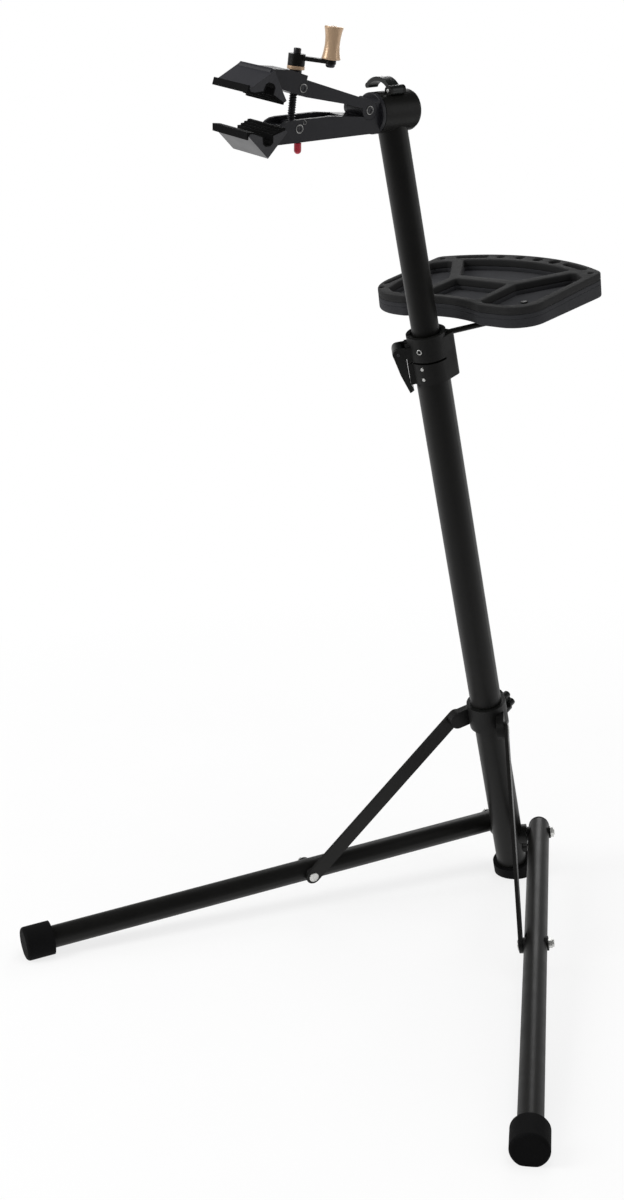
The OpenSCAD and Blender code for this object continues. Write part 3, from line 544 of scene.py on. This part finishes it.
def grip_loop():
    half = GRIP["length"] / 2
    outer = []
    for k in range(GRIP["rows"] + 1):
        z = GRIP["edge"] + (GRIP["length"] - 2 * GRIP["edge"]) * k / GRIP["rows"]
        outer.append((GRIP["waist"] + GRIP["flare"] * ((z - half) / half) ** 2, z))
    first, last, edge = outer[0][0], outer[-1][0], GRIP["edge"]
    turn = [math.pi / 2 * k / GRIP["edge_steps"] for k in range(GRIP["edge_steps"] + 1)]
    low = [(first - edge * (1 - math.sin(t)), edge * (1 - math.cos(t))) for t in turn[:-1]]
    high = [(last - edge * (1 - math.cos(t)), GRIP["length"] - edge * (1 - math.sin(t))) for t in turn[1:]]
    seat_z = GRIP["length"] - GRIP["seat_deep"]
    inner = [(GRIP["seat"], GRIP["length"]), (GRIP["seat"], seat_z),
             (GRIP["bore"], seat_z), (GRIP["bore"], 0.0)]
    return low + outer + high + inner


grip_axis = Vector(JOINTS["grip_spin"]["axis"])
grip_low = Vector(JOINTS["grip_spin"]["pos_m"]) - grip_axis * GRIP["from_middle"]
spun("turned_grip", grip_loop(), axis_frame(grip_low, grip_axis), "crank_grip", "champagne_alloy",
     ("crank_grip",))

# Profiles of radius and height for the pivot heads, the bright rings around them (painted highlights standing in
# for the gleam on the heads' rounded edges) and the small dowels
HEAD = [(0, -0.0008), (0.0044, -0.0008), (0.0046, 0.0004), (0.0040, 0.0011), (0.0027, 0.0012),
        (0.0024, 0.0009), (0.0022, 0.0002), (0, 0.0002)]
HIGHLIGHT_RIM = [(0.0047, -0.0004), (0.0055, -0.0004), (0.0055, 0.0008), (0.0052, 0.0011), (0.0047, 0.0008)]
DOWEL_WIDE, DOWEL_HIGH = 0.5, 0.6
SMALL_HEAD, SMALL_HIGHLIGHT_RIM = ([(r * DOWEL_WIDE, z * DOWEL_HIGH) for r, z in profile] for profile in (HEAD, HIGHLIGHT_RIM))
# Half the width of the arms
ARM_HALF = 0.020
for joint, node in (("jaw_close", "arm_pin"), ("bearing_turn", "bearing_block"), ("nut_turn", "screw_nut")):
    pos, axis = Vector(JOINTS[joint]["pos_m"]), Vector(JOINTS[joint]["axis"])
    for k, d in enumerate((axis, -axis)):
        lathe(f"{node}_head_{k}", HEAD, axis_frame(pos + d * ARM_HALF, d), BODY_OF[node], "dark_steel")
        # Bright zinc ring around each head: a painted highlight of the head's rounded edge
        spun(f"{node}_rim_{k}", HIGHLIGHT_RIM, axis_frame(pos + d * ARM_HALF, d), BODY_OF[node], "zinc_steel")
# Small dowel beside the nut, in the frame of the clamp
DOWEL = Vector((0, 0.0081, 0.0071))
CLAMP_SIDE, CLAMP_TILT, CLAMP_SPIN = math.radians(-16.4), math.radians(-12.6), math.radians(3.0)
CLAMP_TURN = (MAST @ Matrix.Rotation(CLAMP_SIDE, 4, "Z") @ Matrix.Rotation(CLAMP_TILT, 4, "X")
              @ Matrix.Rotation(CLAMP_SPIN, 4, "Y")).to_3x3()
nut_axis = Vector(JOINTS["nut_turn"]["axis"])
dowel = Vector(JOINTS["nut_turn"]["pos_m"]) + CLAMP_TURN @ DOWEL
for k, d in enumerate((nut_axis, -nut_axis)):
    lathe(f"dowel_{k}", SMALL_HEAD, axis_frame(dowel + d * ARM_HALF, d), "clamp", "dark_steel")
    # Bright zinc ring around each dowel head: a painted highlight of its rounded edge
    spun(f"dowel_highlight_rim_{k}", SMALL_HIGHLIGHT_RIM, axis_frame(dowel + d * ARM_HALF, d), "clamp", "zinc_steel", sides=32)


# Dark socket of the guide screw in the height clamp
GUIDE = {"side": math.radians(-82.0), "height": 0.988, "floor": 0.0270}
SOCKET = [(0, 0.0001), (0.0025, 0.0001), (0.0025, 0.0012), (0, 0.0012)]
outward = Vector((math.cos(GUIDE["side"]), math.sin(GUIDE["side"]), 0.0))
guide_at = MAST @ (outward * GUIDE["floor"] + Vector((0, 0, GUIDE["height"])))
lathe("guide_socket", SOCKET, axis_frame(guide_at, MAST.to_3x3() @ outward), "mast", "cast_black")


for node, ob in NODES.items():
    ob.data.materials.clear()
    ob.data.materials.append(MATERIALS[LOOKS.get(node, SLOT_OF[node])])


# Camera, as fitted to the photograph
CAM_POS = Vector((1.34215, -2.35719, 1.28818))
VIEW_AZ, VIEW_EL = math.radians(37.011), math.radians(16.591)
SENSOR, LENS = 36.0, 51.314
look = Vector((-math.sin(VIEW_AZ) * math.cos(VIEW_EL), math.cos(VIEW_AZ) * math.cos(VIEW_EL),
               -math.sin(VIEW_EL)))
right = Vector((math.cos(VIEW_AZ), math.sin(VIEW_AZ), 0.0))
cam_data = bpy.data.cameras.new("camera")
cam_data.sensor_fit = "VERTICAL"
cam_data.sensor_height = SENSOR
cam_data.lens = LENS
cam = bpy.data.objects.new("camera", cam_data)
scene.collection.objects.link(cam)
turn = Matrix((right, right.cross(look), -look)).transposed().to_4x4()
cam.matrix_world = Matrix.Translation(CAM_POS) @ turn
scene.camera = cam

# Floor, world and lamps. The studio is bright behind the stand and dark on the side of the camera.
BACKWARD = (-0.602, 0.798, 0.0)
FLOOR = {"half": 30.0, "rough": 0.9, "specular": 0.1, "blotch": 3.0, "dark": 0.86, "pale": 0.89}
# Share of white glow on the floor over the distance from the stand, in metres
FADE_FROM_TO, FADE = (0.7, 1.7), (0.74, 1.0)
# Brightness in reflections, over the depth of the floor and the direction of the sky
FLOOR_FROM_TO, FLOOR_GLOW = (-1.6, 0.1), (0.14, 0.95)
SKY_FROM_TO, SKY_GLOW = (-0.1, 0.8), (0.08, 0.70)
RISE_FROM_TO, OVERHEAD = (0.15, 0.75), 0.06
AMBIENT = 0.50


def map_range(tree, value, source, target):
    """Linear map of a value between two limits, which are numbers or outputs."""
    n = add(tree, "ShaderNodeMapRange")
    tree.links.new(value, n.inputs["Value"])
    n.inputs["From Min"].default_value, n.inputs["From Max"].default_value = source
    for key, v in zip(("To Min", "To Max"), target):
        if isinstance(v, (int, float)):
            n.inputs[key].default_value = v
        else:
            tree.links.new(v, n.inputs[key])
    return n.outputs["Result"]


floor_mesh = bpy.data.meshes.new("floor")
bm = bmesh.new()
bmesh.ops.create_grid(bm, x_segments=4, y_segments=4, size=FLOOR["half"])
bm.to_mesh(floor_mesh)
bm.free()
floor = bpy.data.objects.new("floor", floor_mesh)
scene.collection.objects.link(floor)
m, nt, sh = new_material("floor")
sh.inputs["Roughness"].default_value = FLOOR["rough"]
sh.inputs["Specular IOR Level"].default_value = FLOOR["specular"]
coords = add(nt, "ShaderNodeTexCoord").outputs["Object"]
tone = ramp(nt, noise_at(nt, coords, FLOOR["blotch"]),
            [(LOW, grey(FLOOR["dark"])), (HIGH, grey(FLOOR["pale"]))])
nt.links.new(tone, sh.inputs["Base Color"])
glow = add(nt, "ShaderNodeEmission")
path = add(nt, "ShaderNodeLightPath")
reach = add(nt, "ShaderNodeVectorMath", operation="LENGTH")
nt.links.new(coords, reach.inputs[0])
fade = map_range(nt, reach.outputs["Value"], FADE_FROM_TO, FADE)
depth = add(nt, "ShaderNodeVectorMath", operation="DOT_PRODUCT")
nt.links.new(coords, depth.inputs[0])
depth.inputs[1].default_value = BACKWARD
mirrored = map_range(nt, depth.outputs["Value"], FLOOR_FROM_TO, FLOOR_GLOW)
mixer = add(nt, "ShaderNodeMixShader")
nt.links.new(map_range(nt, path.outputs["Is Camera Ray"], (0, 1), (path.outputs["Is Glossy Ray"], fade)),
             mixer.inputs["Fac"])
nt.links.new(map_range(nt, path.outputs["Is Camera Ray"], (0, 1), (mirrored, 1.0)), glow.inputs["Strength"])
nt.links.new(sh.outputs[0], mixer.inputs[1])
nt.links.new(glow.outputs[0], mixer.inputs[2])
nt.links.new(mixer.outputs[0], nt.nodes["Material Output"].inputs["Surface"])
floor_mesh.materials.append(m)

world = bpy.data.worlds.new("studio")
scene.world = world
world.use_nodes = True
wt = world.node_tree
back = wt.nodes["Background"]
back.inputs["Color"].default_value = (1.0, 1.0, 1.0, 1.0)
wpath = add(wt, "ShaderNodeLightPath")
aim = add(wt, "ShaderNodeVectorMath", operation="DOT_PRODUCT")
sky = add(wt, "ShaderNodeTexCoord").outputs["Generated"]
wt.links.new(sky, aim.inputs[0])
aim.inputs[1].default_value = BACKWARD
mirrored = map_range(wt, aim.outputs["Value"], SKY_FROM_TO, SKY_GLOW)
rise = add(wt, "ShaderNodeSeparateXYZ")
wt.links.new(sky, rise.inputs[0])
overhead = map_range(wt, rise.outputs["Z"], RISE_FROM_TO, (mirrored, OVERHEAD))
indirect = map_range(wt, wpath.outputs["Is Glossy Ray"], (0, 1), (AMBIENT, overhead))
seen = add(wt, "ShaderNodeMath", operation="MAXIMUM")
wt.links.new(wpath.outputs["Is Camera Ray"], seen.inputs[0])
wt.links.new(wpath.outputs["Is Transmission Ray"], seen.inputs[1])
wt.links.new(map_range(wt, seen.outputs[0], (0, 1), (indirect, 1.0)), back.inputs["Strength"])


def lamp(name, pos, target, size, power, mirrored=True):
    """Soft lamp that looks at a point; some do not show in reflections."""
    data = bpy.data.lights.new(name, "AREA")
    data.shape = "RECTANGLE"
    data.size, data.size_y = size
    data.energy = power
    ob = bpy.data.objects.new(name, data)
    scene.collection.objects.link(ob)
    ob.visible_glossy = mirrored
    d = Vector(target) - Vector(pos)
    ob.matrix_world = Matrix.Translation(pos) @ d.to_track_quat("-Z", "Y").to_matrix().to_4x4()


# Sizes in metres and power in watts
LAMPS = {
    "key": dict(pos=(-1.9, -2.9, 2.8), target=(0, -0.3, 0.7), size=(1.4, 2.4), power=70.0),
    "fill": dict(pos=(3.0, 0.9, 1.9), target=(0, -0.2, 0.7), size=(1.4, 2.4), power=12.0),
    "top": dict(pos=(0.3, -0.2, 3.6), target=(0, -0.2, 0.5), size=(2.4, 2.4), power=34.0, mirrored=False),
    "rim": dict(pos=(-1.4, 2.6, 2.2), target=(0, -0.2, 0.8), size=(1.4, 2.0), power=28.0),
}
for name, values in LAMPS.items():
    lamp(name, **values)
